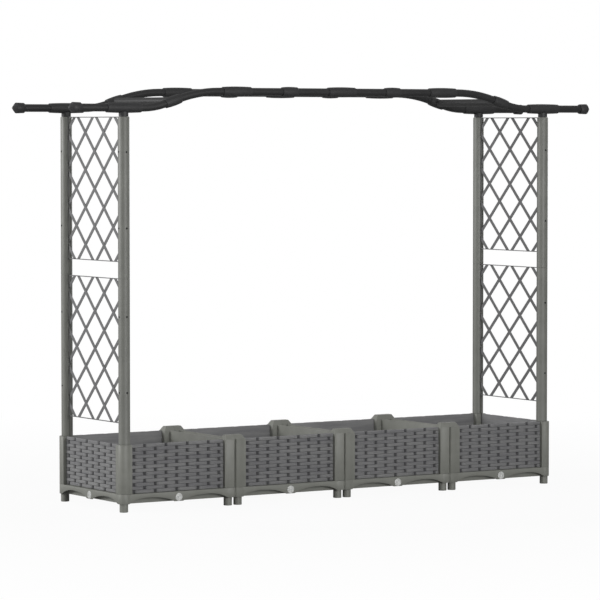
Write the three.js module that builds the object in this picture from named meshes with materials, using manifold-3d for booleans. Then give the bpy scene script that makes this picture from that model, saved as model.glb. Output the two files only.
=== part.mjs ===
// A row of click-together planting boxes with a trellis at each end and an arch of tube over the top.
// Millimetres. +X runs along the row, +Y to the back, +Z up.
// The origin is on the ground under the middle of the row.
import * as THREE from 'three';
import { mergeVertices } from 'three/addons/utils/BufferGeometryUtils.js';
import Module from 'manifold-3d';

const wasm = await Module();
wasm.setup();

// Driving dimensions: the fit between pieces
const fitGap = 0.3;

// Driving dimensions: the row of boxes
const boxCount = 4;
const boxSide = 449.8;
const boxGap = fitGap;
const rimHeight = 228;

// Driving dimensions: the base of a box
const baseHeight = 61;
const apronThickness = 4;
const apronLowEdge = 28;
const archRise = 18.7;
const plugLobeHalfWidth = 17;
const trayInset = 20;
const trayWall = 4;
const trayFloorThickness = 3.5;
const ledgeThickness = 4;
const footDiameter = 29;
const footInset = 19.6;

// Driving dimensions: the corner columns
const columnWidth = 42;
const outerCornerRadius = 21;
const innerChamfer = 4;
const capHeight = 15;
const capShoulder = 1;
const capSlope = 10;
const pegDiameter = 20;
const pegLength = 18;
const socketFloor = 36;

// Driving dimensions: the woven panels
const panelRecess = 12;
const weaveDepth = 6;
const panelWall = 4;
const weaveRows = 14;
const weavePitch = 42;
const strandEnd = 12;
const grooveSeat = 5;

// Driving dimensions: the posts
const postDiameter = 39.5;
const postInset = 25.5;
const postSeam = 788;
const postTop = 1333;
const postBore = 22.6;
const postSpigotLength = 40;
const channelWidth = 12;
const channelDepth = 3;
const slotDepth = 3;

// Driving dimensions: the lattice panels
const trellisHeight = 490;
const trellisThickness = 3;
const trellisEdge = 3;
const stripWidth = 13;
const diamondPitch = 128;
const crossingRise = 12;

// Driving dimensions: the arch of tube
const railDiameter = 26.5;
const railRise = 30;
const bendAngle = THREE.MathUtils.degToRad(17);
const lowerBendRadius = 290;
const upperBendRadius = 520;
const slantedStraight = 70;
const slantedRungInset = 191.5;
const outerCouplerInset = 445.5;
const couplerLength = 113;
const couplerEndDiameter = 32.5;
const couplerMiddleDiameter = 35.5;
const sleeveLength = 63;
const teeLength = 133;
const teeStubDiameter = 33;
const teeSpigotLength = 60;
const capReach = 209;
const capLength = 43;
const capDiameter = 37;
const capTipLength = 13;
const capTipDiameter = 24;

// Driving dimensions: the drain plugs
const plugHeight = 42;
const plugDiameter = 27;
const plugHeadThickness = 3.2;
const plugStemDiameter = 19.4;
const plugStemLength = 17;
const plugRecess = 3.5;
const bossWall = 3;

// Driving dimensions: how finely round forms are cut
const roundSides = 8;
const cornerSteps = 3;
const archSteps = 2;
const bendSteps = 3;

// Materials
const greyPlastic = new THREE.MeshStandardMaterial({ color: 0x73746f, roughness: 0.55, metalness: 0 });
const darkPlastic = new THREE.MeshStandardMaterial({ color: 0x343434, roughness: 0.5, metalness: 0 });
const plugPlastic = new THREE.MeshStandardMaterial({ color: 0xd8d9d6, roughness: 0.4, metalness: 0 });

// Places worked out from the driving dimensions
const boxPitch = boxSide + boxGap;
const rowLength = boxCount * boxPitch - boxGap;
const half = boxSide / 2;
const boxCentreX = (index) => (index - (boxCount - 1) / 2) * boxPitch;
const panelFloor = baseHeight + fitGap;
const panelHeight = rimHeight - panelFloor;
const wallFront = panelRecess + weaveDepth;
const wallBack = wallFront + panelWall;
const postX = rowLength / 2 - postInset;
const postY = half - postInset;
const slantedRungOffset = postX - slantedRungInset;
const outerCouplerOffset = postX - outerCouplerInset;
const topRungOffset = outerCouplerOffset / 2;
const railHeight = postTop + railRise;
const trayFloorTop = apronLowEdge + trayFloorThickness;
const bendRise = (radius) => radius * (1 - Math.cos(bendAngle));
const slantedRise = slantedStraight * Math.sin(bendAngle);
const slantedRungHeight = railHeight + bendRise(lowerBendRadius) + slantedRise / 2;
const archHeight = slantedRungHeight + slantedRise / 2 + bendRise(upperBendRadius);
const railEnd = postX + capReach;

const planter = new THREE.Group();

// ---------------------------------------------------------------- solids from geometries

// A closed geometry as a solid: shared corners are merged and collapsed facets dropped.
function solid(geometry) {
  const bare = geometry.clone();
  bare.deleteAttribute('normal');
  bare.deleteAttribute('uv');
  const merged = mergeVertices(bare, 1e-4);
  const index = merged.index.array;
  const facets = [];
  for (let i = 0; i < index.length; i += 3) {
    const [a, b, c] = [index[i], index[i + 1], index[i + 2]];
    if (a !== b && b !== c && c !== a) facets.push(a, b, c);
  }
  const mesh = new wasm.Mesh({
    numProp: 3,
    vertProperties: merged.attributes.position.array,
    triVerts: new Uint32Array(facets),
  });
  return new wasm.Manifold(mesh);
}

function geometryOf(body) {
  const mesh = body.getMesh();
  const geometry = new THREE.BufferGeometry();
  geometry.setAttribute('position', new THREE.BufferAttribute(mesh.vertProperties, 3));
  geometry.setIndex(new THREE.BufferAttribute(mesh.triVerts, 1));
  geometry.computeVertexNormals();
  return geometry;
}

function join(bodies) {
  return bodies.reduce((whole, body) => whole.add(body));
}

function addPiece(name, body, material, place = new THREE.Matrix4()) {
  const mesh = new THREE.Mesh(geometryOf(body.asOriginal().simplify(0.01)), material);
  mesh.name = name;
  mesh.applyMatrix4(place);
  planter.add(mesh);
}

function block(x0, x1, y0, y1, z0, z1) {
  const geometry = new THREE.BoxGeometry(x1 - x0, y1 - y0, z1 - z0);
  return solid(geometry.translate((x0 + x1) / 2, (y0 + y1) / 2, (z0 + z1) / 2));
}

// An upright prism on an outline in plan.
function prism(shape, z0, z1) {
  const settings = { depth: z1 - z0, bevelEnabled: false, curveSegments: roundSides / 2 };
  return solid(new THREE.ExtrudeGeometry(shape, settings).translate(0, 0, z0));
}

// A body turned about the Z axis. Each profile point is [radius, height] and the list goes upwards,
// from the axis to the axis or once round a ring.
function revolve(profile, sides = roundSides) {
  const points = profile.map(([r, z]) => new THREE.Vector2(r, z));
  return solid(new THREE.LatheGeometry(points, sides).rotateX(Math.PI / 2));
}

function upright(diameter, z0, z1) {
  return revolve([[0, z0], [diameter / 2, z0], [diameter / 2, z1], [0, z1]]);
}

const squarePeg = (side, z0, z1) => block(-side / 2, side / 2, -side / 2, side / 2, z0, z1);

// The same body laid along X or along Y.
const alongX = (body) => body.rotate([0, 90, 0]);
const alongY = (body) => body.rotate([-90, 0, 0]);

// A rectangle in plan with a radius for each corner, from the front left round to the back left.
function boxOutline(x0, x1, y0, y1, radii) {
  const corners = [[x0, y0, 1, 1], [x1, y0, -1, 1], [x1, y1, -1, -1], [x0, y1, 1, -1]];
  const points = [];
  corners.forEach(([x, y, inX, inY], i) => {
    const radius = radii[i];
    const steps = radius === outerCornerRadius ? cornerSteps : Math.sign(radius);
    for (let step = 0; step <= steps; step++) {
      const angle = (i + 2 + step / Math.max(steps, 1)) * Math.PI / 2;
      points.push(new THREE.Vector2(
        x + radius * (inX + Math.cos(angle)), y + radius * (inY + Math.sin(angle))));
    }
  });
  return new THREE.Shape(points);
}

// ---------------------------------------------------------------- bases

// The outline of a box in plan: rounded at the ends of the row, with a small chamfer at a seam.
function boxPlan(index) {
  const left = index === 0 ? outerCornerRadius : innerChamfer;
  const right = index === boxCount - 1 ? outerCornerRadius : innerChamfer;
  return boxOutline(-half, half, -half, half, [left, right, right, left]);
}

// The room under half of an apron: an arch from the plug's lobe to the foot, as an outline in X and Z.
function archOpening(side) {
  const start = plugLobeHalfWidth;
  const finish = half - footInset - footDiameter / 2;
  const span = finish - start;
  const peakX = start + 0.58 * span;
  const peakZ = apronLowEdge + archRise;
  const opening = new THREE.Shape();
  opening.moveTo(side * start, apronLowEdge);
  opening.bezierCurveTo(
    side * (start + 0.16 * span), apronLowEdge + 0.8 * archRise,
    side * (start + 0.39 * span), peakZ,
    side * peakX, peakZ,
  );
  opening.bezierCurveTo(
    side * (peakX + 0.16 * span), peakZ,
    side * (peakX + 0.3 * span), apronLowEdge + 0.75 * archRise,
    side * finish, apronLowEdge + 0.15 * archRise,
  );
  opening.lineTo(side * finish, apronLowEdge - 1);
  opening.lineTo(side * start, apronLowEdge - 1);
  opening.closePath();
  return opening;
}

function archCutter(side) {
  const depth = apronThickness + 2;
  const settings = { depth, bevelEnabled: false, curveSegments: archSteps };
  const geometry = new THREE.ExtrudeGeometry(archOpening(side), settings);
  return solid(geometry.rotateX(Math.PI / 2).translate(0, depth - half - 1, 0));
}

// A body repeated at the four sides or the four corners of a box.
const atSides = (body) => join([0, 90, 180, 270].map((angle) => body.rotate([0, 0, angle])));
const atCorners = (body) => {
  const front = body.add(body.mirror([1, 0, 0]));
  return front.add(front.mirror([0, 1, 0]));
};

// The drain passage: a boss that carries the bore from the apron to the tray.
function drainBoss() {
  const boss = upright(plugDiameter + 2 * bossWall, apronThickness / 2, trayInset + trayWall / 2);
  return alongY(boss).translate([0, -half, plugHeight]);
}

function drainBore() {
  const recess = upright(plugDiameter + 2 * fitGap, -1, plugRecess);
  const bore = upright(plugStemDiameter + 2 * fitGap, -1, trayInset + trayWall + 1);
  return alongY(recess.add(bore)).translate([0, -half, plugHeight]);
}

// A base: the soil tray is let in from above, and from below a moat on each side leaves the apron standing
// in front of the tray's wall.
function baseBody(index) {
  const inner = half - trayInset - trayWall;
  const tray = block(-inner, inner, -inner, inner, trayFloorTop, baseHeight + 1);
  const reach = half - footInset - footDiameter / 2;
  const moat = block(
    -reach, reach, apronThickness - half, trayInset - half, apronLowEdge - 1, baseHeight - ledgeThickness);
  const cutters = [tray, atSides(moat), atSides(archCutter(1).add(archCutter(-1)))];
  const shell = prism(boxPlan(index), apronLowEdge, baseHeight).subtract(join(cutters));
  const corner = footInset - half;
  const foot = upright(footDiameter, 0, apronLowEdge + 1).translate([corner, corner, 0]);
  const drains = drainTurns(index);
  const bosses = drains.map((angle) => drainBoss().rotate([0, 0, angle]));
  const bores = drains.map((angle) => drainBore().rotate([0, 0, angle]));
  return join([shell, atCorners(foot), ...bosses]).subtract(join([...baseSockets(index), ...bores]));
}

// A base's sockets: round ones for the posts at the ends of the row, square ones for the columns at a seam.
function baseSockets(index) {
  const place = half - postInset;
  const round = upright(pegDiameter + 2 * fitGap, socketFloor, baseHeight + 1);
  const square = squarePeg(pegDiameter + 2 * fitGap, socketFloor, baseHeight + 1);
  const left = index === 0 ? round : square;
  const right = index === boxCount - 1 ? round : square;
  return [-place, place].flatMap((y) => [left.translate([-place, y, 0]), right.translate([place, y, 0])]);
}

// Which sides of a base have a drain, as turns from the front: the front, and the outer side of an end box.
function drainTurns(index) {
  if (index === 0) return [0, -90];
  return index === boxCount - 1 ? [0, 90] : [0];
}

// ---------------------------------------------------------------- woven panels

// The woven face between two columns: rows of strands, each swelling from joint to joint, with the joints
// of one row at the middles of the next row's strands. X is along the panel, Z up, the face looks to -Y.
function weaveRelief(length, height) {
  const corners = [];
  const facets = [];
  const point = (x, z, rise) => corners.push(x, -rise, z) / 3 - 1;
  const facet = (a, b, c) => facets.push(a, b, c);
  const rowHeight = height / weaveRows;
  const end = length / 2;
  const reach = Math.floor((end - strandEnd) / weavePitch);
  const stops = [-end];
  for (let k = -reach; k <= reach; k++) stops.push(k * weavePitch);
  stops.push(end);
  const last = stops.length - 1;
  const isJoint = (k, row) => k > 0 && k < last && (k - 1 - reach + row) % 2 === 0;
  const lines = [];
  for (let row = 0; row <= weaveRows; row++) lines.push(stops.map((x) => point(x, row * rowHeight, 0)));
  const leftEdge = [];
  const rightEdge = [];

  for (let row = 0; row < weaveRows; row++) {
    const low = lines[row];
    const high = lines[row + 1];
    let start = 0;
    for (let k = 1; k <= last; k++) {
      if (!isJoint(k, row) && k < last) continue;
      let crownX = (stops[start] + stops[k]) / 2;
      if (start === 0) crownX = -end;
      if (k === last) crownX = end;
      const crown = point(crownX, (row + 0.5) * rowHeight, weaveDepth);
      for (let step = start; step < k; step++) {
        facet(low[step], low[step + 1], crown);
        facet(high[step + 1], high[step], crown);
      }
      if (start === 0) leftEdge.push(crown);
      else facet(high[start], low[start], crown);
      if (k === last) rightEdge.push(crown);
      else facet(low[k], high[k], crown);
      start = k;
    }
  }

  // Walls and a back face that lies inside the panel's wall.
  const outline = [...lines[0]];
  for (let row = 0; row < weaveRows; row++) outline.push(rightEdge[row], lines[row + 1].at(-1));
  outline.push(...lines[weaveRows].slice(0, -1).reverse());
  for (let row = weaveRows - 1; row >= 0; row--) {
    outline.push(leftEdge[row]);
    if (row > 0) outline.push(lines[row][0]);
  }
  const sunk = outline.map((i) => point(corners[3 * i], corners[3 * i + 2], -panelWall / 2));
  const hub = point(0, height / 2, -panelWall / 2);
  outline.forEach((front, i) => {
    const next = (i + 1) % outline.length;
    facet(outline[next], front, sunk[i]);
    facet(outline[next], sunk[i], sunk[next]);
    facet(sunk[next], sunk[i], hub);
  });
  const geometry = new THREE.BufferGeometry();
  geometry.setAttribute('position', new THREE.Float32BufferAttribute(corners, 3));
  geometry.setIndex(facets);
  return solid(geometry);
}

const panelClear = boxSide - 2 * columnWidth - 2 * fitGap;
const panelReach = panelClear + 2 * grooveSeat;

// A woven panel in its place at the front of a box: its plain ends slide in the columns' grooves.
function wovenPanel() {
  const wall = block(-panelReach / 2, panelReach / 2, 0, panelWall, 0, panelHeight);
  return wall.add(weaveRelief(panelClear, panelHeight)).translate([0, wallFront - half, panelFloor]);
}

// ---------------------------------------------------------------- columns and inner walls

// The groove in a front left column that takes the end of the front panel.
function panelGroove() {
  const x0 = columnWidth - grooveSeat - 2 * fitGap;
  return block(x0, columnWidth + 1, wallFront - fitGap, wallBack + fitGap, baseHeight - 1, rimHeight + 1);
}

// The same groove for the end panel: the first one mirrored across the corner's diagonal.
function sideGroove() {
  const y0 = columnWidth - grooveSeat - 2 * fitGap;
  return block(wallFront - fitGap, wallBack + fitGap, y0, columnWidth + 1, baseHeight - 1, rimHeight + 1);
}

function columnPrism(radius) {
  return prism(boxOutline(0, columnWidth, 0, columnWidth, [radius, 0, 0, 0]), panelFloor, rimHeight);
}

// A front left outer column, its corner at the origin, bored for the post's spigot.
function outerColumn() {
  const bore = upright(pegDiameter + 2 * fitGap, panelFloor - 1, rimHeight + 1)
    .translate([postInset, postInset, 0]);
  return columnPrism(outerCornerRadius).subtract(bore).subtract(panelGroove()).subtract(sideGroove());
}

// The low cap on a column that carries no post. Its front, its back and the side away from the seam slope up to
// a flat top. The side at the seam is upright, so the caps of two neighbours make one form.
function columnCap() {
  const along = columnWidth - capShoulder;
  const across = columnWidth - 2 * capShoulder;
  const geometry = new THREE.BoxGeometry(along, across, capHeight);
  const corners = geometry.attributes.position;
  for (let i = 0; i < corners.count; i++) {
    if (corners.getZ(i) < 0) continue;
    corners.setY(i, corners.getY(i) * (1 - 2 * capSlope / across));
    if (corners.getX(i) > 0) corners.setX(i, along / 2 - capSlope);
  }
  return solid(geometry.translate(along / 2, columnWidth / 2, rimHeight + capHeight / 2));
}

function columnPeg() {
  return squarePeg(pegDiameter, baseHeight - pegLength, panelFloor + 1).translate([postInset, postInset, 0]);
}

// The left wall of a box inside the row, with its front and back columns.
function innerWall() {
  const front = join([columnPrism(innerChamfer), columnCap(), columnPeg()])
    .subtract(panelGroove()).translate([-half, -half, 0]);
  const back = front.mirror([0, 1, 0]);
  const inner = half - columnWidth / 2;
  const wall = block(wallFront - half, wallBack - half, -inner, inner, panelFloor, rimHeight);
  return join([front, back, wall]);
}

// ---------------------------------------------------------------- posts and trellis

// A post's section: round, with a channel on the side that looks to +Y, whose floor has a slot for the
// trellis.
function postSection() {
  const radius = postDiameter / 2;
  const channel = channelWidth / 2;
  const slot = trellisThickness / 2 + fitGap;
  const lip = Math.asin(channel / radius);
  const floor = radius - channelDepth;
  const shape = new THREE.Shape();
  shape.absarc(0, 0, radius, Math.PI / 2 + lip, 5 * Math.PI / 2 - lip);
  shape.lineTo(channel, floor);
  shape.lineTo(slot, floor);
  shape.lineTo(slot, floor - slotDepth);
  shape.lineTo(-slot, floor - slotDepth);
  shape.lineTo(-slot, floor);
  shape.lineTo(-channel, floor);
  shape.closePath();
  return shape;
}

// The lower length: a spigot below stands in the column and the base, one on top carries the upper length.
function lowerPost() {
  const foot = upright(pegDiameter, socketFloor + fitGap, rimHeight + 1);
  const head = upright(postBore - 2 * fitGap, postSeam - 1, postSeam + postSpigotLength);
  return join([prism(postSection(), rimHeight + fitGap, postSeam), foot, head]);
}

// The upper length is a tube, open at both ends.
function upperPost() {
  const bore = upright(postBore, postSeam - 1, postTop + 1);
  return prism(postSection(), postSeam + fitGap, postTop).subtract(bore);
}

// A lattice panel: flat strips at 45 degrees in a thin frame, whose side edges stand in the posts' slots.
// The strips cross on a line that lies the crossing rise above the panel's top.
function trellisPanel(top) {
  const bottom = top - trellisHeight;
  const reach = postY - postDiameter / 2 + channelDepth + slotDepth - fitGap;
  const skin = trellisThickness / 2;
  const plate = block(-skin, skin, -reach, reach, bottom, top);
  const inside = reach - trellisEdge;
  const opening = block(-skin - 1, skin + 1, -inside, inside, bottom + trellisEdge, top - trellisEdge);
  const side = diamondPitch / Math.SQRT2 - stripWidth;
  const diamond = block(-skin - 1, skin + 1, -side / 2, side / 2, -side / 2, side / 2).rotate([45, 0, 0]);
  const columns = Math.ceil(2 * reach / diamondPitch);
  const rows = Math.ceil(trellisHeight / diamondPitch) + 1;
  const diamonds = [];
  for (let column = -columns; column <= columns; column++) {
    const shift = column % 2 === 0 ? diamondPitch / 2 : 0;
    for (let row = 0; row <= rows; row++) {
      const centreZ = top + crossingRise - shift - row * diamondPitch;
      diamonds.push(diamond.translate([0, column * diamondPitch / 2, centreZ]));
    }
  }
  return plate.subtract(join(diamonds).intersect(opening));
}

// ---------------------------------------------------------------- the arch

const railBore = railDiameter / 2 + fitGap;

// A sleeve along Z, thickest in its middle, with a bore for the tube.
function barrelSleeve(length, bore = railBore) {
  const end = couplerEndDiameter / 2;
  const middle = couplerMiddleDiameter / 2;
  const reach = length / 2;
  return revolve([[bore, reach], [bore, -reach], [end, -reach], [middle, 0], [end, reach], [bore, reach]]);
}

// The slanted end of a rail in the X-Z plane: a level stretch over the post, a bend up, a slanted straight,
// a bend back to level and a level stretch to the coupler. It runs from the cap at negative X inwards.
class BentRail extends THREE.Curve {
  constructor() {
    super();
    const slant = new THREE.Vector2(Math.cos(bendAngle), Math.sin(bendAngle));
    slant.multiplyScalar(slantedStraight / 2);
    const rung = new THREE.Vector2(-slantedRungOffset, slantedRungHeight);
    this.slantStart = rung.clone().sub(slant);
    this.slantEnd = rung.clone().add(slant);
    this.lowerCentre = new THREE.Vector2(
      this.slantStart.x - lowerBendRadius * Math.sin(bendAngle), railHeight + lowerBendRadius);
    this.upperCentre = new THREE.Vector2(
      this.slantEnd.x + upperBendRadius * Math.sin(bendAngle), archHeight - upperBendRadius);
    this.stretches = [1, bendSteps, 1, bendSteps, 1];
    this.steps = 3 + 2 * bendSteps;
  }

  // Each stretch takes as many equal steps as its shape needs, so the parameter is left as it is.
  getUtoTmapping(u) {
    return u;
  }

  getPoint(t, target = new THREE.Vector3()) {
    let step = Math.min(Math.max(t, 0), 1) * this.steps;
    let stretch = 0;
    while (stretch < this.stretches.length - 1 && step > this.stretches[stretch]) {
      step -= this.stretches[stretch];
      stretch += 1;
    }
    const share = step / this.stretches[stretch];
    const start = -railEnd + capTipLength;
    const finish = -outerCouplerOffset - fitGap;
    const place = new THREE.Vector2();
    if (stretch === 0) {
      place.set(THREE.MathUtils.lerp(start, this.lowerCentre.x, share), railHeight);
    } else if (stretch === 1) {
      const angle = share * bendAngle;
      place.set(Math.sin(angle), -Math.cos(angle)).multiplyScalar(lowerBendRadius).add(this.lowerCentre);
    } else if (stretch === 2) {
      place.lerpVectors(this.slantStart, this.slantEnd, share);
    } else if (stretch === 3) {
      const angle = (1 - share) * bendAngle;
      place.set(-Math.sin(angle), Math.cos(angle)).multiplyScalar(upperBendRadius).add(this.upperCentre);
    } else {
      place.set(THREE.MathUtils.lerp(this.upperCentre.x, finish, share), archHeight);
    }
    return target.set(place.x, 0, place.y);
  }
}

function bentTube() {
  const section = new THREE.Shape();
  section.absarc(0, 0, railDiameter / 2, Math.PI / 2, 5 * Math.PI / 2);
  const path = new BentRail();
  const settings = {
    extrudePath: path, steps: path.steps, curveSegments: roundSides / 2, bevelEnabled: false,
  };
  return solid(new THREE.ExtrudeGeometry(section, settings));
}

// The cap's outer form along Z, its tip up, from its mouth at zero.
function capProfile() {
  const mouth = capDiameter / 2;
  return [[mouth - 1, 0], [mouth, capLength - capTipLength], [capTipDiameter / 2, capLength]];
}

// The left bend carries a cap fixed on its end.
function leftBend() {
  const cap = revolve([[0, 0], ...capProfile(), [0, capLength]]).rotate([0, -90, 0]);
  return bentTube().add(cap.translate([capLength - railEnd, 0, railHeight]));
}

// A coupler fixed on the left end of a tube: its inner half holds the tube, its outer half is a socket.
function couplerAt(x) {
  const socket = alongX(upright(railDiameter + 2 * fitGap, -couplerLength, 0));
  const body = alongX(barrelSleeve(couplerLength, railDiameter / 4).add(
    upright(railDiameter, -couplerLength / 2, couplerLength / 2)));
  return body.subtract(socket).translate([x, 0, archHeight]);
}

function rightBend() {
  return bentTube().mirror([1, 0, 0]).add(couplerAt(outerCouplerOffset));
}

function straightTube(x0, x1) {
  const tube = alongX(upright(railDiameter, x0, x1)).translate([0, 0, archHeight]);
  return tube.add(couplerAt(x0));
}

// The loose cap on the right end of a rail.
function rightCap() {
  const bore = railDiameter / 2 + fitGap;
  const depth = capLength - capTipLength + fitGap;
  const shape = revolve([[0, 0], ...capProfile(), [0, capLength]]);
  const hollow = upright(2 * bore, -1, depth);
  return alongX(shape.subtract(hollow)).translate([railEnd - capLength, 0, railHeight]);
}

// The fitting that sits on a post and lets the rail pass through.
function tee() {
  const stubTop = railHeight - postTop;
  const spigot = (postBore - 2 * fitGap) / 2;
  const stub = revolve([
    [0, -teeSpigotLength], [spigot, -teeSpigotLength], [spigot, fitGap],
    [teeStubDiameter / 2, fitGap], [teeStubDiameter / 2, stubTop], [0, stubTop],
  ]).translate([0, 0, postTop]);
  const sleeve = alongX(barrelSleeve(teeLength)).translate([0, 0, railHeight]);
  const bore = alongX(upright(2 * railBore, -teeLength, teeLength)).translate([0, 0, railHeight]);
  return stub.add(sleeve).subtract(bore);
}

// A rung: a tube from front to back with a sleeve round each rail, turned about its own axis by a slant.
function rung(slant) {
  const ends = [-postY, postY];
  const sleeve = alongX(barrelSleeve(sleeveLength));
  const bore = alongX(upright(2 * railBore, -sleeveLength, sleeveLength));
  const tube = alongY(upright(railDiameter, -postY, postY));
  return join([tube, ...ends.map((y) => sleeve.translate([0, y, 0]))])
    .subtract(join(ends.map((y) => bore.translate([0, y, 0]))))
    .rotate([0, THREE.MathUtils.radToDeg(-slant), 0]);
}

// ---------------------------------------------------------------- drain plugs

// A plug along Z, its face at zero and its stem going up.
function drainPlug() {
  const head = plugDiameter / 2;
  const stem = plugStemDiameter / 2;
  const stemEnd = plugHeadThickness + plugStemLength;
  return revolve([
    [0, 0], [head - 1, 0], [head, 1], [head, plugHeadThickness],
    [stem, plugHeadThickness], [stem, stemEnd], [0, stemEnd],
  ]);
}

// ---------------------------------------------------------------- the assembly

const move = (x, y, z) => new THREE.Matrix4().makeTranslation(x, y, z);
const turn = (quarters) => new THREE.Matrix4().makeRotationZ(quarters * Math.PI / 2);

const panel = wovenPanel();
const dividerLeft = innerWall();
const dividerRight = dividerLeft.mirror([1, 0, 0]);
for (let i = 0; i < boxCount; i++) {
  const number = i + 1;
  const place = move(boxCentreX(i), 0, 0);
  addPiece(`base_${number}`, baseBody(i), greyPlastic, place);
  addPiece(`front_panel_${number}`, panel, greyPlastic, place);
  addPiece(`back_panel_${number}`, panel, greyPlastic, place.clone().multiply(turn(2)));
  if (i > 0) addPiece(`inner_wall_${number}_left`, dividerLeft, greyPlastic, place);
  if (i < boxCount - 1) addPiece(`inner_wall_${number}_right`, dividerRight, greyPlastic, place);
}
addPiece('end_panel_left', panel, greyPlastic, move(boxCentreX(0), 0, 0).multiply(turn(-1)));
addPiece('end_panel_right', panel, greyPlastic, move(boxCentreX(boxCount - 1), 0, 0).multiply(turn(1)));

// What stands on the four outer corners: [name, side in X, side in Y].
const outerCorners = [
  ['front_left', -1, -1], ['front_right', 1, -1], ['back_right', 1, 1], ['back_left', -1, 1],
];
const column = outerColumn().translate([-rowLength / 2, -half, 0]);
const lowLength = lowerPost();
const highLength = upperPost();
const fitting = tee();
const reflect = (body, sideX, sideY) => {
  const across = sideX > 0 ? body.mirror([1, 0, 0]) : body;
  return sideY > 0 ? across.mirror([0, 1, 0]) : across;
};
for (const [name, sideX, sideY] of outerCorners) {
  const place = move(sideX * postX, sideY * postY, 0);
  addPiece(`column_${name}`, reflect(column, sideX, sideY), greyPlastic);
  addPiece(`post_lower_${name}`, reflect(lowLength, sideX, sideY), greyPlastic, place);
  addPiece(`post_upper_${name}`, reflect(highLength, sideX, sideY), greyPlastic, place);
  addPiece(`tee_${name}`, fitting, darkPlastic, place);
}

for (const [name, side] of [['left', -1], ['right', 1]]) {
  const place = move(side * postX, 0, 0);
  addPiece(`trellis_lower_${name}`, trellisPanel(postSeam), greyPlastic, place);
  addPiece(`trellis_upper_${name}`, trellisPanel(postTop), greyPlastic, place);
}

const spanEnd = outerCouplerOffset - fitGap;
for (const [name, side] of [['front', -1], ['back', 1]]) {
  const place = move(0, side * postY, 0);
  addPiece(`rail_${name}_left_bend`, leftBend(), darkPlastic, place);
  addPiece(`rail_${name}_left_span`, straightTube(-outerCouplerOffset, -fitGap), darkPlastic, place);
  addPiece(`rail_${name}_right_span`, straightTube(0, spanEnd), darkPlastic, place);
  addPiece(`rail_${name}_right_bend`, rightBend(), darkPlastic, place);
  addPiece(`rail_${name}_right_cap`, rightCap(), darkPlastic, place);
}

const slantedRung = rung(bendAngle);
const levelRung = rung(0);
addPiece('rung_1', slantedRung, darkPlastic, move(-slantedRungOffset, 0, slantedRungHeight));
addPiece('rung_2', levelRung, darkPlastic, move(-topRungOffset, 0, archHeight));
addPiece('rung_3', levelRung, darkPlastic, move(topRungOffset, 0, archHeight));
const slantedBack = slantedRung.mirror([1, 0, 0]);
addPiece('rung_4', slantedBack, darkPlastic, move(slantedRungOffset, 0, slantedRungHeight));

// The plugs' faces lie just below the faces of the aprons.
const plugFace = half - (plugRecess - plugHeadThickness) + fitGap / 2;
const plug = alongY(drainPlug()).translate([0, -plugFace, plugHeight]);
for (let i = 0; i < boxCount; i++) {
  addPiece(`drain_plug_front_${i + 1}`, plug, plugPlastic, move(boxCentreX(i), 0, 0));
}
addPiece('drain_plug_left', plug, plugPlastic, move(boxCentreX(0), 0, 0).multiply(turn(-1)));
addPiece('drain_plug_right', plug, plugPlastic, move(boxCentreX(boxCount - 1), 0, 0).multiply(turn(1)));

export default planter;
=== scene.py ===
# A planter: four square boxes in a row with woven-look panels, lattice panels on posts at both ends, and an
# arch of dark tube over the top. Metres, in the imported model's frame: +X along the row, +Y to the back,
# +Z up.
import math
import bmesh
import bpy
from mathutils import Matrix, Vector


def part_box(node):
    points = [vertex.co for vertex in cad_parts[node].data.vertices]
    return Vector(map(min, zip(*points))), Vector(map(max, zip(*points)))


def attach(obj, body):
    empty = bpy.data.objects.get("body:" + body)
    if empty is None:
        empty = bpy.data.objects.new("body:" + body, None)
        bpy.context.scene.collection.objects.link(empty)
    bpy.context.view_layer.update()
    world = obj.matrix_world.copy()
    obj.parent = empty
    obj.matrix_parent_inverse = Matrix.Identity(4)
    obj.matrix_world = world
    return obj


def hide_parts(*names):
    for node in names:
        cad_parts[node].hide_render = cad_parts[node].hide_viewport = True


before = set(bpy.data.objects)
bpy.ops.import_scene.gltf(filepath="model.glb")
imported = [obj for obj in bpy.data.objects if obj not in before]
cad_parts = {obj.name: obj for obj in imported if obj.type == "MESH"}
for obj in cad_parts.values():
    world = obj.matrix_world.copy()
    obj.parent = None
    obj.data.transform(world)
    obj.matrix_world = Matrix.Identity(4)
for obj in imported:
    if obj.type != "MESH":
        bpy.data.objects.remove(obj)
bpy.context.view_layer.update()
bpy.ops.object.select_all(action="DESELECT")

# ---------------------------------------------------------------- sizes

MM = 0.001

# The gap between pieces that fit together
FIT = 0.3 * MM


def middle(node):
    low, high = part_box(node)
    return (low + high) / 2


# Read from the frame
BASE_LOW, BASE_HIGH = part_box("base_1")
HALF = (BASE_HIGH.x - BASE_LOW.x) / 2
BASE_TOP = BASE_HIGH.z
ROW_END = -BASE_LOW.x
PANEL_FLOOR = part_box("column_front_left")[0].z
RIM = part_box("column_front_left")[1].z
COLUMN_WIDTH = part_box("column_front_left")[1].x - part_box("column_front_left")[0].x
PANEL_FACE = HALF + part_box("front_panel_1")[0].y
POST_X = -middle("tee_front_left").x
POST_Y = -middle("tee_front_left").y
POST_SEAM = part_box("trellis_lower_left")[1].z
POST_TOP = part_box("trellis_upper_left")[1].z
SEAM_CAP_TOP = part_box("inner_wall_1_right")[1].z
RAIL_END = -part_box("rail_front_left_bend")[0].x
SLANTED_RUNG = middle("rung_1")
CROWN_HEIGHT = middle("rung_2").z
BOX_X = {number: middle(f"base_{number}").x for number in (1, 2, 3, 4)}

# The row's four corners, with their sides along X and Y
OUTER_CORNERS = (("front_left", -1, -1), ("front_right", 1, -1), ("back_right", 1, 1), ("back_left", -1, 1))

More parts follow.
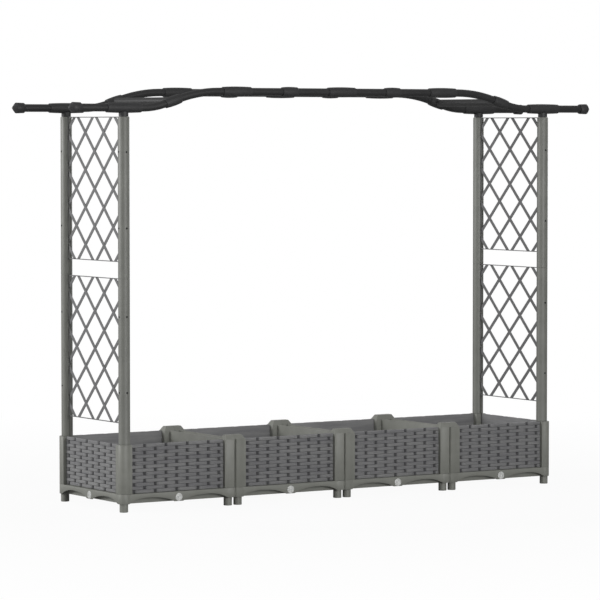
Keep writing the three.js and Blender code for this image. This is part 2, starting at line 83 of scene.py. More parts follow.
# The base of a box
APRON_LOW = 28 * MM
APRON_WALL = 4 * MM
ARCH_RISE = 18.7 * MM
LOBE_HALF = 17 * MM
TRAY_INSET = 20 * MM
TRAY_WALL = 4 * MM
TRAY_FLOOR = 3.5 * MM
LEDGE_HEIGHT = 4 * MM
FOOT_RADIUS = 14.5 * MM
FOOT_INSET = 19.6 * MM
FOOT_WALL = 3 * MM
LEG_WIDTH = 28 * MM
LEG_PROUD = 1 * MM
LEG_STEP = 1.5 * MM
CORNER_RADIUS = 21 * MM
SEAM_CHAMFER = 4 * MM
SEAM_PLAY = 1.2 * MM
SOFT_EDGE = 0.8 * MM
THIN_EDGE = 0.6 * MM
PLUG_HEIGHT = 42 * MM
RECESS_RADIUS = 13.8 * MM
RECESS_DEPTH = 3.5 * MM
BORE_RADIUS = 10 * MM
BOSS_WALL = 3 * MM

# The apron's arch from the plug's lobe to the foot: two Bezier curves, as shares of its span and of its rise
ARCH_PEAK = 0.58
ARCH_CURVES = (
    ((0, 0), (0.16, 0.8), (0.39, 1), (ARCH_PEAK, 1)),
    ((ARCH_PEAK, 1), (ARCH_PEAK + 0.16, 1), (ARCH_PEAK + 0.3, 0.75), (1, 0.15)))
ARCH_STEPS = 9
ARCH_END_GAP = 0.5 * MM

# The woven panels
WEAVE_DEPTH = 8 * MM
PANEL_WALL = 2 * MM
ROWS = 14
STRAND_PITCH = 42 * MM
GROOVE_DEPTH = 5 * MM

# The columns
SEAM_CAP_SHOULDER = 1 * MM
SEAM_CAP_SLOPE = 10 * MM
SEAM_CAP_ROUNDING = 1.5 * MM
DIVIDER_INSET = 18 * MM
DIVIDER_WALL = 4 * MM

# The posts and the trellis
POST_RADIUS = 19.75 * MM
POST_ROUNDING = 1 * MM
POST_SHOULDER = 3 * MM
SPIGOT_RADIUS = 11 * MM
FOOT_SPIGOT_RADIUS = 10 * MM
SPIGOT_LENGTH = 40 * MM
SOCKET_FLOOR = 36.3 * MM
CHANNEL_WIDTH = 12 * MM
CHANNEL_DEPTH = 3 * MM
SLOT_WIDTH = 3.6 * MM
SLOT_DEPTH = 3 * MM
LATTICE_THICKNESS = 3 * MM
LATTICE_EDGE = 3 * MM
LATTICE_ROUNDING = 0.4 * MM
LAP = 0.3 * MM
STRIP_WIDTH = 13 * MM
STRIP_REACH = 600 * MM
STRIP_COUNT = 13
DIAMOND_PITCH = 128 * MM
LATTICE_HEIGHT = 490 * MM
CROSSING_RISE = 12 * MM
SCREW_HEIGHTS = (404 * MM, 660 * MM, 958 * MM, 1214 * MM)
SCREW_RADIUS = 3.4 * MM
SCREW_SHANK = 3 * MM
SCREW_SUNK = 0.2 * MM
CROSS_REACH = 1.9 * MM
CROSS_HALF_WIDTH = 0.4 * MM
CROSS_FLOOR = -1 * MM

# The arch over the top. A rail bends up with one radius, runs straight on, and bends to level with the other.
RAIL_RADIUS = 13.25 * MM
RAIL_RISE = 30 * MM
RAIL_HEIGHT = POST_TOP + RAIL_RISE
BEND_ANGLE = math.radians(17)
LOWER_BEND_RADIUS = 290 * MM
LOWER_BEND_STEPS = 8
UPPER_BEND_RADIUS = 520 * MM
UPPER_BEND_STEPS = 10
SLANT_LENGTH = 70 * MM
COUPLER_LENGTH = 113 * MM
COUPLER_X = -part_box("rail_front_left_span")[0].x - COUPLER_LENGTH / 2
BARREL_END = 16.25 * MM
BARREL_MIDDLE = 17.75 * MM
BARREL_LIP = 1.2 * MM
BARREL_STEPS = 6
SLEEVE_LENGTH = 63 * MM
TEE_LENGTH = 133 * MM
STUB_RADIUS = 16.5 * MM
TEE_SPIGOT_LENGTH = 60 * MM
CAP_LENGTH = 43 * MM
CAP_RADIUS = 18.5 * MM
CAP_TIP_LENGTH = 13 * MM
CAP_TIP_RADIUS = 4 * MM
CAP_TAPER = 1 * MM
CAP_LIP = 0.6 * MM
CAP_EDGE = 1 * MM

# The drain plugs
PLUG_RADIUS = 13.5 * MM
PLUG_HEAD = 3.2 * MM
PLUG_STEM_RADIUS = 9.7 * MM
PLUG_STEM = 17 * MM
PLUG_ROUNDING = 1 * MM
# The rings on its face, from the middle outwards: radius and depth in mm
PLUG_RINGS = (
    (1.6, 0.8), (2.2, 0),
    (4.2, 0), (4.7, 1.6), (6.7, 1.6), (7.2, 0),
    (9.2, 0), (9.6, 1.4), (11, 1.4), (11.4, 0))

# How many sides and steps round forms have
ROUND = 40
POST_ROUND = 64
SCREW_ROUND = 20
CORNER_STEPS = 12

# Points nearer than this count as one, and CUT_NEAR is the same along a cut.
NEAR = 0.02 * MM
CUT_NEAR = 0.001 * MM

# How far a cutter reaches past a piece, or a joined form into its neighbour
PAST = 1 * MM

# Edges that turn by more than this are softened.
SHARP = math.radians(40)

# ---------------------------------------------------------------- working by hand


def alone(piece):
    """Only this piece is chosen and active."""
    bpy.ops.object.select_all(action="DESELECT")
    piece.select_set(True)
    bpy.context.view_layer.objects.active = piece


def settle():
    """The place, turn and size of the chosen piece go into its mesh."""
    bpy.ops.object.transform_apply(location=True, rotation=True, scale=True)
    return bpy.context.object


def cube(low, high):
    low, high = Vector(low), Vector(high)
    bpy.ops.mesh.primitive_cube_add(size=1, location=(low + high) / 2)
    bpy.context.object.scale = high - low
    return settle()


def edit():
    bpy.ops.object.mode_set(mode="EDIT")
    bpy.ops.mesh.select_mode(type="VERT")


def leave():
    bpy.ops.object.mode_set(mode="OBJECT")
    return bpy.context.object


def pick(kind, test):
    """In edit mode, chooses the points, edges or faces whose place passes the test."""
    bpy.ops.mesh.select_mode(type=kind)
    bpy.ops.mesh.select_all(action="DESELECT")
    mesh = bmesh.from_edit_mesh(bpy.context.object.data)
    if kind == "VERT":
        found = [point for point in mesh.verts if test(point.co)]
    elif kind == "EDGE":
        found = [edge for edge in mesh.edges if test(edge.verts[0].co, edge.verts[1].co)]
    else:
        found = [face for face in mesh.faces if test(face.calc_center_median(), face.normal)]
    for item in found:
        item.select_set(True)
    bmesh.update_edit_mesh(bpy.context.object.data)


def move(step):
    bpy.ops.transform.translate(value=step)


def grow(factors, about):
    bpy.ops.transform.resize(value=factors, center_override=about)


def extrude(step):
    bpy.ops.mesh.extrude_region_move(TRANSFORM_OT_translate={"value": step})


def split(place, normal, **options):
    """Cuts the whole mesh along a plane. The options may clear one side and fill the cut."""
    bpy.ops.mesh.select_all(action="SELECT")
    bpy.ops.mesh.bisect(plane_co=place, plane_no=normal, threshold=CUT_NEAR, **options)


def bevel(width, segments):
    bpy.ops.mesh.bevel(offset=width, segments=segments, affect="EDGES")


def shape_corner(rounded):
    """Rounds the chosen upright edge at an outer corner of the row, or chamfers it at a seam."""
    if rounded:
        bevel(CORNER_RADIUS, CORNER_STEPS)
    else:
        bevel(SEAM_CHAMFER, 1)


def face_outwards():
    bpy.ops.mesh.select_all(action="SELECT")
    bpy.ops.mesh.normals_make_consistent(inside=False)


def upright(a, b):
    return abs(a.x - b.x) < NEAR and abs(a.y - b.y) < NEAR


def level(a, b):
    return abs(a.z - b.z) < NEAR


def soften(width=SOFT_EDGE, segments=2):
    """Rounds every sharp edge of the active piece a little."""
    piece = bpy.context.object
    modifier = piece.modifiers.new("soften", "BEVEL")
    modifier.width = width
    modifier.segments = segments
    modifier.limit_method = "ANGLE"
    modifier.angle_limit = SHARP
    bpy.ops.object.modifier_apply(modifier="soften")
    return piece


def turned(profile, ring=False, sides=ROUND):
    """A form turned about Z: a disc or ring, extruded and resized from one radius and height to the next."""
    radius, height = profile[0]
    bpy.ops.mesh.primitive_circle_add(
        vertices=sides, radius=radius, location=(0, 0, height), fill_type="NOTHING" if ring else "NGON")
    settle()
    edit()
    bpy.ops.mesh.select_all(action="SELECT")
    for next_radius, next_height in profile[1:]:
        extrude((0, 0, next_height - height))
        share = next_radius / radius
        grow((share, share, 1), (0, 0, next_height))
        radius, height = next_radius, next_height
    bpy.ops.mesh.select_all(action="SELECT")
    if ring:
        bpy.ops.mesh.remove_doubles(threshold=NEAR)
    face_outwards()
    return leave()


def lay(piece, axis, angle=math.pi / 2):
    """Turns the piece about an axis through the origin."""
    alone(piece)
    piece.matrix_world = Matrix.Rotation(angle, 4, axis)
    return settle()


def shift(piece, step):
    alone(piece)
    piece.location = step
    return settle()


def join(pieces):
    alone(pieces[0])
    for piece in pieces:
        piece.select_set(True)
    bpy.ops.object.join()
    return bpy.context.object


def cut(piece, cutters):
    """Takes the cutters' room out of the piece."""
    tool = join(cutters)
    alone(piece)
    modifier = piece.modifiers.new("cut", "BOOLEAN")
    modifier.operation = "DIFFERENCE"
    modifier.solver = "EXACT"
    modifier.object = tool
    bpy.ops.object.modifier_apply(modifier="cut")
    bpy.data.objects.remove(tool)
    return piece


def repeat(piece, count, step):
    """Makes the piece a row of copies, each a step on from the last."""
    alone(piece)
    modifier = piece.modifiers.new("repeat", "ARRAY")
    modifier.count = count
    modifier.use_relative_offset = False
    modifier.use_constant_offset = True
    modifier.constant_offset_displace = step
    bpy.ops.object.modifier_apply(modifier="repeat")
    return piece


def copy_of(piece, place=Matrix()):
    """A copy with its own mesh, moved, turned or mirrored by the matrix."""
    alone(piece)
    bpy.ops.object.duplicate()
    bpy.context.object.matrix_world = place
    settle()
    if place.determinant() < 0:
        edit()
        face_outwards()
        leave()
    return bpy.context.object


def at(x, y, z):
    return Matrix.Translation((x, y, z))


def flipped(side_x, side_y=1):
    return Matrix.Diagonal((side_x, side_y, 1, 1))


def quarter(turns):
    return Matrix.Rotation(turns * math.pi / 2, 4, "Z")


def drop(*pieces):
    for piece in pieces:
        bpy.data.objects.remove(piece)


# ---------------------------------------------------------------- materials


def colour(code):
    """An sRGB hex value as linear red, green, blue and alpha."""
    shares = [int(code[i:i + 2], 16) / 255 for i in (0, 2, 4)]
    return [s / 12.92 if s <= 0.04045 else ((s + 0.055) / 1.055) ** 2.4 for s in shares] + [1]


def per_metre(size_mm):
    """A pattern's scale for features of this size."""
    return 1000 / size_mm


def add(tree, kind, inputs=(), **settings):
    """Adds a node with its settings. An input is given a value or the socket that feeds it."""
    made = tree.nodes.new(kind)
    for name, value in settings.items():
        setattr(made, name, value)
    for name, value in dict(inputs).items():
        if isinstance(value, bpy.types.NodeSocket):
            tree.links.new(value, made.inputs[name])
        else:
            made.inputs[name].default_value = value
    return made


def blank_material(name):
    material = bpy.data.materials.new(name)
    material.use_nodes = True
    material.node_tree.nodes.clear()
    return material, material.node_tree


def finish_material(tree, shader):
    add(tree, "ShaderNodeOutputMaterial", {"Surface": shader.outputs[0]})


def tones(tree, factor, dark, light, low=0.3, high=0.7):
    """A ramp between two near colours."""
    ramp = add(tree, "ShaderNodeValToRGB", {"Fac": factor})
    ramp.color_ramp.elements[0].position = low
    ramp.color_ramp.elements[0].color = colour(dark)
    ramp.color_ramp.elements[1].position = high
    ramp.color_ramp.elements[1].color = colour(light)
    return ramp.outputs["Color"]


def moulded_plastic(name, dark, light, roughness, grain_mm, grain_depth_mm, cloud_mm):
    """Injection-moulded plastic: an even satin colour with faint clouds from the melt's flow, and the fine
    spark-eroded grain of the mould, drawn coarser than the real 0.2 mm so that it shows."""
    material, tree = blank_material(name)
    place = add(tree, "ShaderNodeTexCoord").outputs["Object"]
    clouds = add(tree, "ShaderNodeTexNoise", {
        "Vector": place, "Scale": per_metre(cloud_mm), "Detail": 4, "Roughness": 0.6})
    grain = add(tree, "ShaderNodeTexNoise", {
        "Vector": place, "Scale": per_metre(grain_mm), "Detail": 3, "Roughness": 0.7})
    bump = add(tree, "ShaderNodeBump", {
        "Height": grain.outputs["Fac"], "Strength": 0.6, "Distance": grain_depth_mm * MM})
    gloss = add(tree, "ShaderNodeMapRange", {
        "Value": grain.outputs["Fac"], "To Min": roughness - 0.06, "To Max": roughness + 0.08})
    shader = add(tree, "ShaderNodeBsdfPrincipled", {
        "Base Color": tones(tree, clouds.outputs["Fac"], dark, light), "Roughness": gloss.outputs["Result"],
        "IOR": 1.49, "Normal": bump.outputs["Normal"]})
    finish_material(tree, shader)
    return material


def extruded_pvc():
    """Extruded rigid PVC: an even grey with the fine lengthwise lines that the die leaves, and a satin sheen
    that follows them."""
    material, tree = blank_material("extruded_pvc")
    place = add(tree, "ShaderNodeTexCoord").outputs["Object"]
    along = add(tree, "ShaderNodeMapping", {
        "Vector": place, "Scale": (per_metre(2), per_metre(2), per_metre(500))})
    lines = add(tree, "ShaderNodeTexNoise", {"Vector": along.outputs["Vector"], "Scale": 1, "Detail": 3})
    clouds = add(tree, "ShaderNodeTexNoise", {"Vector": place, "Scale": per_metre(60), "Detail": 3})
    bump = add(tree, "ShaderNodeBump", {
        "Height": lines.outputs["Fac"], "Strength": 0.5, "Distance": 0.15 * MM})
    gloss = add(tree, "ShaderNodeMapRange", {"Value": lines.outputs["Fac"], "To Min": 0.42, "To Max": 0.6})
    shader = add(tree, "ShaderNodeBsdfPrincipled", {
        "Base Color": tones(tree, clouds.outputs["Fac"], "666762", "6E6F6A"),
        "Roughness": gloss.outputs["Result"], "IOR": 1.53, "Normal": bump.outputs["Normal"]})
    finish_material(tree, shader)
    return material


def woven_polypropylene():
    """The panels' moulded wicker: each strand has its own slightly different grey and fine fibres along it,
    and the hollows are darkened with painted shade, deepest at the wall."""
    material, tree = blank_material("woven_look_polypropylene")
    place = add(tree, "ShaderNodeTexCoord").outputs["Object"]
    row = (RIM - PANEL_FLOOR) / ROWS
    lengthwise = add(tree, "ShaderNodeMapping", {
        "Vector": place, "Location": (0, 0, -PANEL_FLOOR / row),
        "Scale": (per_metre(160), per_metre(160), 1 / row)})
    strands = add(tree, "ShaderNodeTexNoise", {
        "Vector": lengthwise.outputs["Vector"], "Scale": 1, "Detail": 1})
    fibre_place = add(tree, "ShaderNodeMapping", {
        "Vector": place, "Scale": (per_metre(30), per_metre(30), per_metre(1.1))})
    fibres = add(tree, "ShaderNodeTexNoise", {
        "Vector": fibre_place.outputs["Vector"], "Scale": 1, "Detail": 3, "Roughness": 0.65})
    both = add(tree, "ShaderNodeMath", {
        0: strands.outputs["Fac"], 1: fibres.outputs["Fac"]}, operation="ADD")
    mean = add(tree, "ShaderNodeMath", {0: both.outputs[0], 1: 0.5}, operation="MULTIPLY")
    bump = add(tree, "ShaderNodeBump", {
        "Height": fibres.outputs["Fac"], "Strength": 0.7, "Distance": 0.5 * MM})
    gloss = add(tree, "ShaderNodeMapRange", {
        "Value": fibres.outputs["Fac"], "To Min": 0.5, "To Max": 0.68})
    depth = add(tree, "ShaderNodeAttribute", attribute_name="hollow")
    shade = add(tree, "ShaderNodeMapRange", {
        "Value": depth.outputs["Fac"], "From Min": 0.45, "From Max": 0.8, "To Min": 0, "To Max": 0.9})
    greys = tones(tree, mean.outputs[0], "68686A", "7B7B7B", 0.36, 0.62)
    # Painted shade: the hollows are mixed towards a dark grey, darkest at the wall
    painted_hollow_shade = add(tree, "ShaderNodeMix", {
        "Factor": shade.outputs["Result"], "A": greys, "B": colour("2C2C2E")}, data_type="RGBA")
    shader = add(tree, "ShaderNodeBsdfPrincipled", {
        "Base Color": painted_hollow_shade.outputs["Result"],
        "Roughness": gloss.outputs["Result"], "IOR": 1.49, "Normal": bump.outputs["Normal"]})
    finish_material(tree, shader)
    return material


def powder_coated_tube():
    """Powder-coated steel tube: near-black, satin, with the coat's soft orange peel."""
    material, tree = blank_material("powder_coated_steel")
    place = add(tree, "ShaderNodeTexCoord").outputs["Object"]
    peel = add(tree, "ShaderNodeTexNoise", {"Vector": place, "Scale": per_metre(2.5), "Detail": 2})
    cast = add(tree, "ShaderNodeTexNoise", {"Vector": place, "Scale": per_metre(70), "Detail": 3})
    bump = add(tree, "ShaderNodeBump", {
        "Height": peel.outputs["Fac"], "Strength": 0.4, "Distance": 0.15 * MM})
    gloss = add(tree, "ShaderNodeMapRange", {"Value": cast.outputs["Fac"], "To Min": 0.42, "To Max": 0.58})
    shader = add(tree, "ShaderNodeBsdfPrincipled", {
        "Base Color": tones(tree, cast.outputs["Fac"], "1A1A1B", "202021"),
        "Roughness": gloss.outputs["Result"], "IOR": 1.5, "Normal": bump.outputs["Normal"]})
    finish_material(tree, shader)
    return material


def blackened_screw():
    """Blackened steel: dark metal with a worn, uneven sheen."""
    material, tree = blank_material("blackened_steel")
    place = add(tree, "ShaderNodeTexCoord").outputs["Object"]
    wear = add(tree, "ShaderNodeTexNoise", {"Vector": place, "Scale": per_metre(1.5), "Detail": 3})
    gloss = add(tree, "ShaderNodeMapRange", {"Value": wear.outputs["Fac"], "To Min": 0.35, "To Max": 0.6})
    shader = add(tree, "ShaderNodeBsdfPrincipled", {
        "Base Color": tones(tree, wear.outputs["Fac"], "18181A", "2A2A2C"),
        "Roughness": gloss.outputs["Result"], "Metallic": 0.8})
    finish_material(tree, shader)
    return material


# The bases' and columns' warm mid grey, satin
BODY = moulded_plastic(
    "moulded_polypropylene", "70716B", "787973",
    roughness=0.5, grain_mm=1.6, grain_depth_mm=0.12, cloud_mm=45)
WOVEN = woven_polypropylene()
POST = extruded_pvc()
# The lattice's darker, neutral grey
LATTICE_GREY = moulded_plastic(
    "lattice_polypropylene", "5A5A5B", "636364",
    roughness=0.52, grain_mm=1.2, grain_depth_mm=0.08, cloud_mm=30)
# The near-black of caps, couplers, T fittings and sleeves, a little duller than the tube
FITTING = moulded_plastic(
    "fitting_polypropylene", "242425", "2B2B2C",
    roughness=0.56, grain_mm=1.4, grain_depth_mm=0.12, cloud_mm=25)
TUBE = powder_coated_tube()
# The drain plugs' pale grey, smoother than the rest
PLUG = moulded_plastic(
    "plug_polyethylene", "C0C1BF", "D0D1CF",
    roughness=0.4, grain_mm=1.2, grain_depth_mm=0.05, cloud_mm=12)
SCREW = blackened_screw()


def dress(piece, name, material, nodes, body="planter", smooth=35):
    """Names the finished piece, gives it its material and ties it to the frame."""
    alone(piece)
    bpy.ops.object.shade_smooth_by_angle(angle=math.radians(smooth))
    piece.name = name
    piece.data.name = name
    piece.data.materials.clear()
    piece.data.materials.append(material)
    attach(piece, body)
    if nodes:
        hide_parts(*nodes)


# ---------------------------------------------------------------- bases


def arch_line():
    """The apron's lower edge from the plug's lobe to just before the foot, as pairs of place and rise."""
    span = HALF - FOOT_INSET - FOOT_RADIUS - LOBE_HALF
    line = []
    for curve in ARCH_CURVES:
        for step in range(ARCH_STEPS):
            t = (step + 1) / ARCH_STEPS
            weights = ((1 - t) ** 3, 3 * t * (1 - t) ** 2, 3 * t * t * (1 - t), t ** 3)
            place = sum(w * point[0] for w, point in zip(weights, curve))
            rise = sum(w * point[1] for w, point in zip(weights, curve))
            line.append((LOBE_HALF + place * span, rise * ARCH_RISE))
    place, rise = line.pop()
    return line + [(place - ARCH_END_GAP, rise)]


def drain_cutter():
    """The plug's recess and the bore behind it, in the front apron."""
    depth = TRAY_INSET + TRAY_WALL + 2 * PAST
    tool = turned([
        (RECESS_RADIUS, -2 * PAST), (RECESS_RADIUS, RECESS_DEPTH), (BORE_RADIUS, RECESS_DEPTH),
        (BORE_RADIUS, depth)])
    return shift(lay(tool, "X", -math.pi / 2), (0, -HALF, PLUG_HEIGHT))


def drain_boss():
    """A short pipe round the bore, from the apron to the tray."""
    outer = BORE_RADIUS + BOSS_WALL
    near = RECESS_DEPTH
    far = TRAY_INSET + TRAY_WALL / 2
    profile = [(BORE_RADIUS, near), (outer, near), (outer, far), (BORE_RADIUS, far), (BORE_RADIUS, near)]
    pipe = turned(profile, ring=True)
    return shift(lay(pipe, "X", -math.pi / 2), (0, -HALF, PLUG_HEIGHT))


def foot(x, y):
    """A round foot, hollow from below, with a softened rim."""
    inner = FOOT_RADIUS - FOOT_WALL
    profile = [
        (inner, APRON_LOW - FOOT_WALL), (inner, 0), (FOOT_RADIUS - SOFT_EDGE, 0), (FOOT_RADIUS, SOFT_EDGE),
        (FOOT_RADIUS, APRON_LOW + PAST)]
    return shift(turned(profile), (x, y, 0))


def base_block(at_end):
    """The outer skin with the tray cut into it from above and a moat behind each apron from below."""
    body = cube((-HALF, -HALF, APRON_LOW), (HALF, HALF, BASE_TOP))
    edit()
    for side in (-1, 1):
        pick("EDGE", lambda a, b: upright(a, b) and a.x * side > HALF - NEAR)
        shape_corner(at_end and side < 0)
    pick("EDGE", level)
    bevel(SOFT_EDGE, 2)
    leave()
    inner = HALF - TRAY_INSET - TRAY_WALL
    reach = HALF - FOOT_INSET - FOOT_RADIUS
    cutters = [cube((-inner, -inner, APRON_LOW + TRAY_FLOOR), (inner, inner, BASE_TOP + PAST))]
    for turns in range(4):
        moat = cube(
            (-reach, APRON_WALL - HALF, APRON_LOW - PAST),
            (reach, TRAY_INSET - HALF, BASE_TOP - LEDGE_HEIGHT))
        cutters.append(copy_of(moat, quarter(turns)))
        drop(moat)
    return cut(body, cutters)


def shape_aprons():
    """Lifts the aprons' lower edges into arches and sets their skins back between the legs."""
    edit()
    arch = arch_line()
    leg = HALF - LEG_WIDTH
    for place in [LOBE_HALF] + [place for place, _ in arch] + [leg, leg - LEG_STEP]:
        for side in (-1, 1):
            split((side * place, 0, 0), (1, 0, 0))
            split((0, side * place, 0), (0, 1, 0))
    edge = HALF - APRON_WALL - NEAR
    low = APRON_LOW + SOFT_EDGE + NEAR
    for place, rise in arch:
        pick("VERT", lambda p: p.z < low and (
            abs(p.y) > edge and abs(abs(p.x) - place) < NEAR
            or abs(p.x) > edge and abs(abs(p.y) - place) < NEAR))
        move((0, 0, rise))
    skin = HALF - SOFT_EDGE - NEAR
    between = leg - LEG_STEP / 2
    for side in (-1, 1):
        pick("VERT", lambda p: p.y * side > skin and abs(p.x) < between)
        move((0, -side * LEG_PROUD, 0))
        pick("VERT", lambda p: p.x * side > skin and abs(p.y) < between)
        move((-side * LEG_PROUD, 0, 0))
    leave()


def box_base(at_end):
    """A base with its middle at the origin. At the row's end it has round corners and a drain on its left."""
    body = base_block(at_end)
    shape_aprons()
    bores = [drain_cutter()]
    bosses = [drain_boss()]
    if at_end:
        bores.append(copy_of(bores[0], quarter(-1)))
        bosses.append(copy_of(bosses[0], quarter(-1)))
    cut(body, bores)
    corner = HALF - FOOT_INSET
    feet = [foot(x, y) for x in (-corner, corner) for y in (-corner, corner)]
    return join([body] + bosses + feet)


def place_bases():
    end = box_base(True)
    inner = box_base(False)
    for number, x in BOX_X.items():
        model = end if number in (1, 4) else inner
        piece = copy_of(model, at(x, 0, 0) @ flipped(-1 if number == 4 else 1))
        dress(piece, f"moulded_base_{number}", BODY, [f"base_{number}"])
    drop(end, inner)


# ---------------------------------------------------------------- woven panels

# A strand's section over one row, as shares of the row's height and of the weave's depth: four rounded ribs
STRAND_SECTION = (
    (0, 0.6), (0.04, 0.78), (0.1, 0.91),
    (0.18, 1), (0.27, 0.99), (0.32, 0.9),
    (0.38, 1), (0.46, 0.99), (0.51, 0.9),
    (0.56, 1), (0.64, 0.99), (0.69, 0.9),
    (0.75, 1), (0.84, 0.98), (0.91, 0.9), (0.96, 0.78), (1, 0.6))
# How a strand bows from the joint where it passes under: distance in mm, share of its depth and of its width
STRAND_RISE = (
    (0, 0.02, 0.88), (2, 0.07, 0.9), (5, 0.38, 0.94), (8, 0.7, 0.98), (11, 0.87, 1), (16, 0.94, 1),
    (25, 0.98, 1))


def strand(height):
    """One strand from joint to joint, on the wall's face at y = 0 and rising to -Y."""
    length = 2 * STRAND_PITCH
    sunk = PANEL_WALL / 4
    piece = cube((0, -WEAVE_DEPTH, 0), (length, sunk, height))
    edit()
    for share, _ in STRAND_SECTION[1:-1]:
        split((0, 0, share * height), (0, 0, 1))
    stations = []
    for run, depth, width in STRAND_RISE:
        stations.append((run * MM, depth, width))
        stations.append((length - run * MM, depth, width))
    stations.append((STRAND_PITCH, 1, 1))
    for place, _, _ in stations:
        if 0 < place < length:
            split((place, 0, 0), (1, 0, 0))
    for share, rise in STRAND_SECTION:
        pick("VERT", lambda p: p.y < 0 and abs(p.z - share * height) < NEAR)
        grow((1, rise, 1), (0, 0, 0))
    for place, depth, width in stations:
        pick("VERT", lambda p: p.y < 0 and abs(p.x - place) < NEAR)
        grow((1, depth, width), (0, 0, height / 2))
    leave()
    # How deep each point lies, from 0 on a strand's crest to 1 at the wall, for the painted shade in the
    # panels' material
    hollow = piece.data.attributes.new("hollow", "FLOAT", "POINT")
    for point, mark in zip(piece.data.vertices, hollow.data):
        mark.value = 1 + min(point.co.y, 0) / WEAVE_DEPTH
    return piece


def strand_row(count, reach, height):
    """Strands end to end with the row's middle at x = 0, cut off at the reach on both sides."""
    row = repeat(strand(height), count, (2 * STRAND_PITCH, 0, 0))
    shift(row, (-count * STRAND_PITCH, 0, 0))
    edit()
    for side in (-1, 1):
        split((side * reach, 0, 0), (side, 0, 0), clear_outer=True, use_fill=True)
    return leave()


def woven_panel():
    """A panel in its place at the front of a box whose middle is at the origin. With six strands in one row
    and five in the next, the joints of neighbouring rows are a pitch apart."""
    clear = HALF - COLUMN_WIDTH - FIT
    height = (RIM - PANEL_FLOOR) / ROWS
    face = PANEL_FACE + WEAVE_DEPTH - HALF
    rows = []
    for count, low in ((6, PANEL_FLOOR), (5, PANEL_FLOOR + height)):
        every_other = repeat(strand_row(count, clear, height), ROWS // 2, (0, 0, 2 * height))
        rows.append(shift(every_other, (0, face, low)))
    wall = cube((-clear - GROOVE_DEPTH, face, PANEL_FLOOR), (clear + GROOVE_DEPTH, face + PANEL_WALL, RIM))
    soften(THIN_EDGE)
    return join([wall] + rows)


def place_panels():
    panel = woven_panel()
    stands = []
    for number, x in BOX_X.items():
        stands.append((f"front_panel_{number}", at(x, 0, 0)))
        stands.append((f"back_panel_{number}", at(x, 0, 0) @ quarter(2)))
    stands.append(("end_panel_left", at(BOX_X[1], 0, 0) @ quarter(-1)))
    stands.append(("end_panel_right", at(BOX_X[4], 0, 0) @ quarter(1)))
    for node, place in stands:
        dress(copy_of(panel, place), f"woven_{node}", WOVEN, [node], smooth=50)
    drop(panel)


# ---------------------------------------------------------------- columns and inner walls


def column(rounded):
    """A column with its outer corner at the origin, towards -X and -Y, and a groove for each panel that it
    holds. A rounded one is also bored for a post."""
    piece = cube((0, 0, PANEL_FLOOR), (COLUMN_WIDTH, COLUMN_WIDTH, RIM))
    edit()
    pick("EDGE", lambda a, b: upright(a, b) and a.x < NEAR and a.y < NEAR)
    shape_corner(rounded)
    pick("EDGE", level)
    bevel(SOFT_EDGE, 2)
    for place in (LEG_WIDTH, LEG_WIDTH + LEG_STEP):
        split((place, 0, 0), (1, 0, 0))
        split((0, place, 0), (0, 1, 0))
    skin = SOFT_EDGE + NEAR
    beyond = LEG_WIDTH + LEG_STEP / 2
    pick("VERT", lambda p: p.y < skin and p.x > beyond)
    move((0, LEG_PROUD, 0))
    pick("VERT", lambda p: p.x < skin and p.y > beyond)
    move((LEG_PROUD, 0, 0))
    if not rounded:
        pick("VERT", lambda p: p.x < NEAR)
        move((SEAM_PLAY, 0, 0))
    leave()
    inset = PANEL_FACE + WEAVE_DEPTH
    start = COLUMN_WIDTH - GROOVE_DEPTH - 2 * FIT
    far = COLUMN_WIDTH + PAST
    low = PANEL_FLOOR - PAST
    high = RIM + PAST
    cutters = [cube((start, inset - FIT, low), (far, inset + PANEL_WALL + FIT, high))]
    if rounded:
        cutters.append(cube((inset - FIT, start, low), (inset + PANEL_WALL + FIT, far, high)))
        axis = HALF - POST_Y
        radius = FOOT_SPIGOT_RADIUS + FIT
        cutters.append(shift(turned([(radius, low), (radius, high)]), (axis, axis, 0)))
    return cut(piece, cutters)


def column_cap():
    """The low cap over a column at a seam: three sides slope to a flat top, the seam's side is upright."""
    far = COLUMN_WIDTH - SEAM_CAP_SHOULDER
    cube((0, SEAM_CAP_SHOULDER, RIM - PAST), (far, far, SEAM_CAP_TOP))
    edit()
    pick("VERT", lambda p: p.z > SEAM_CAP_TOP - NEAR and p.x > NEAR)
    move((-SEAM_CAP_SLOPE, 0, 0))
    pick("VERT", lambda p: p.z > SEAM_CAP_TOP - NEAR)
    across = far - SEAM_CAP_SHOULDER
    grow((1, 1 - 2 * SEAM_CAP_SLOPE / across, 1), (0, COLUMN_WIDTH / 2, 0))
    pick("EDGE", lambda a, b: max(a.x, b.x) > NEAR and max(a.z, b.z) > SEAM_CAP_TOP - NEAR)
    bevel(SEAM_CAP_ROUNDING, 3)
    return leave()


def column_with_wall():
    """A box's left wall, where another box stands beside it, with its two columns. The box's middle is at the
    origin."""
    front = join([column(False), column_cap()])
    shift(front, (-HALF, -HALF, 0))
    back = copy_of(front, flipped(1, -1))
    inset = DIVIDER_INSET - HALF
    reach = HALF - COLUMN_WIDTH + PAST
    wall = cube((inset, -reach, PANEL_FLOOR), (inset + DIVIDER_WALL, reach, RIM))
    soften(THIN_EDGE)
    return join([front, back, wall])


def place_columns():
    corner = shift(column(True), (-ROW_END, -HALF, 0))
    for name, side_x, side_y in OUTER_CORNERS:
        piece = copy_of(corner, flipped(-side_x, -side_y))
        dress(piece, f"moulded_column_{name}", BODY, [f"column_{name}"])
    divider = column_with_wall()
    for side, mirror, numbers in (("left", 1, (2, 3, 4)), ("right", -1, (1, 2, 3))):
        for number in numbers:
            node = f"inner_wall_{number}_{side}"
            piece = copy_of(divider, at(BOX_X[number], 0, 0) @ flipped(mirror))
            dress(piece, f"moulded_{node}", BODY, [node])
    drop(corner, divider)


# ---------------------------------------------------------------- posts, screws and trellis


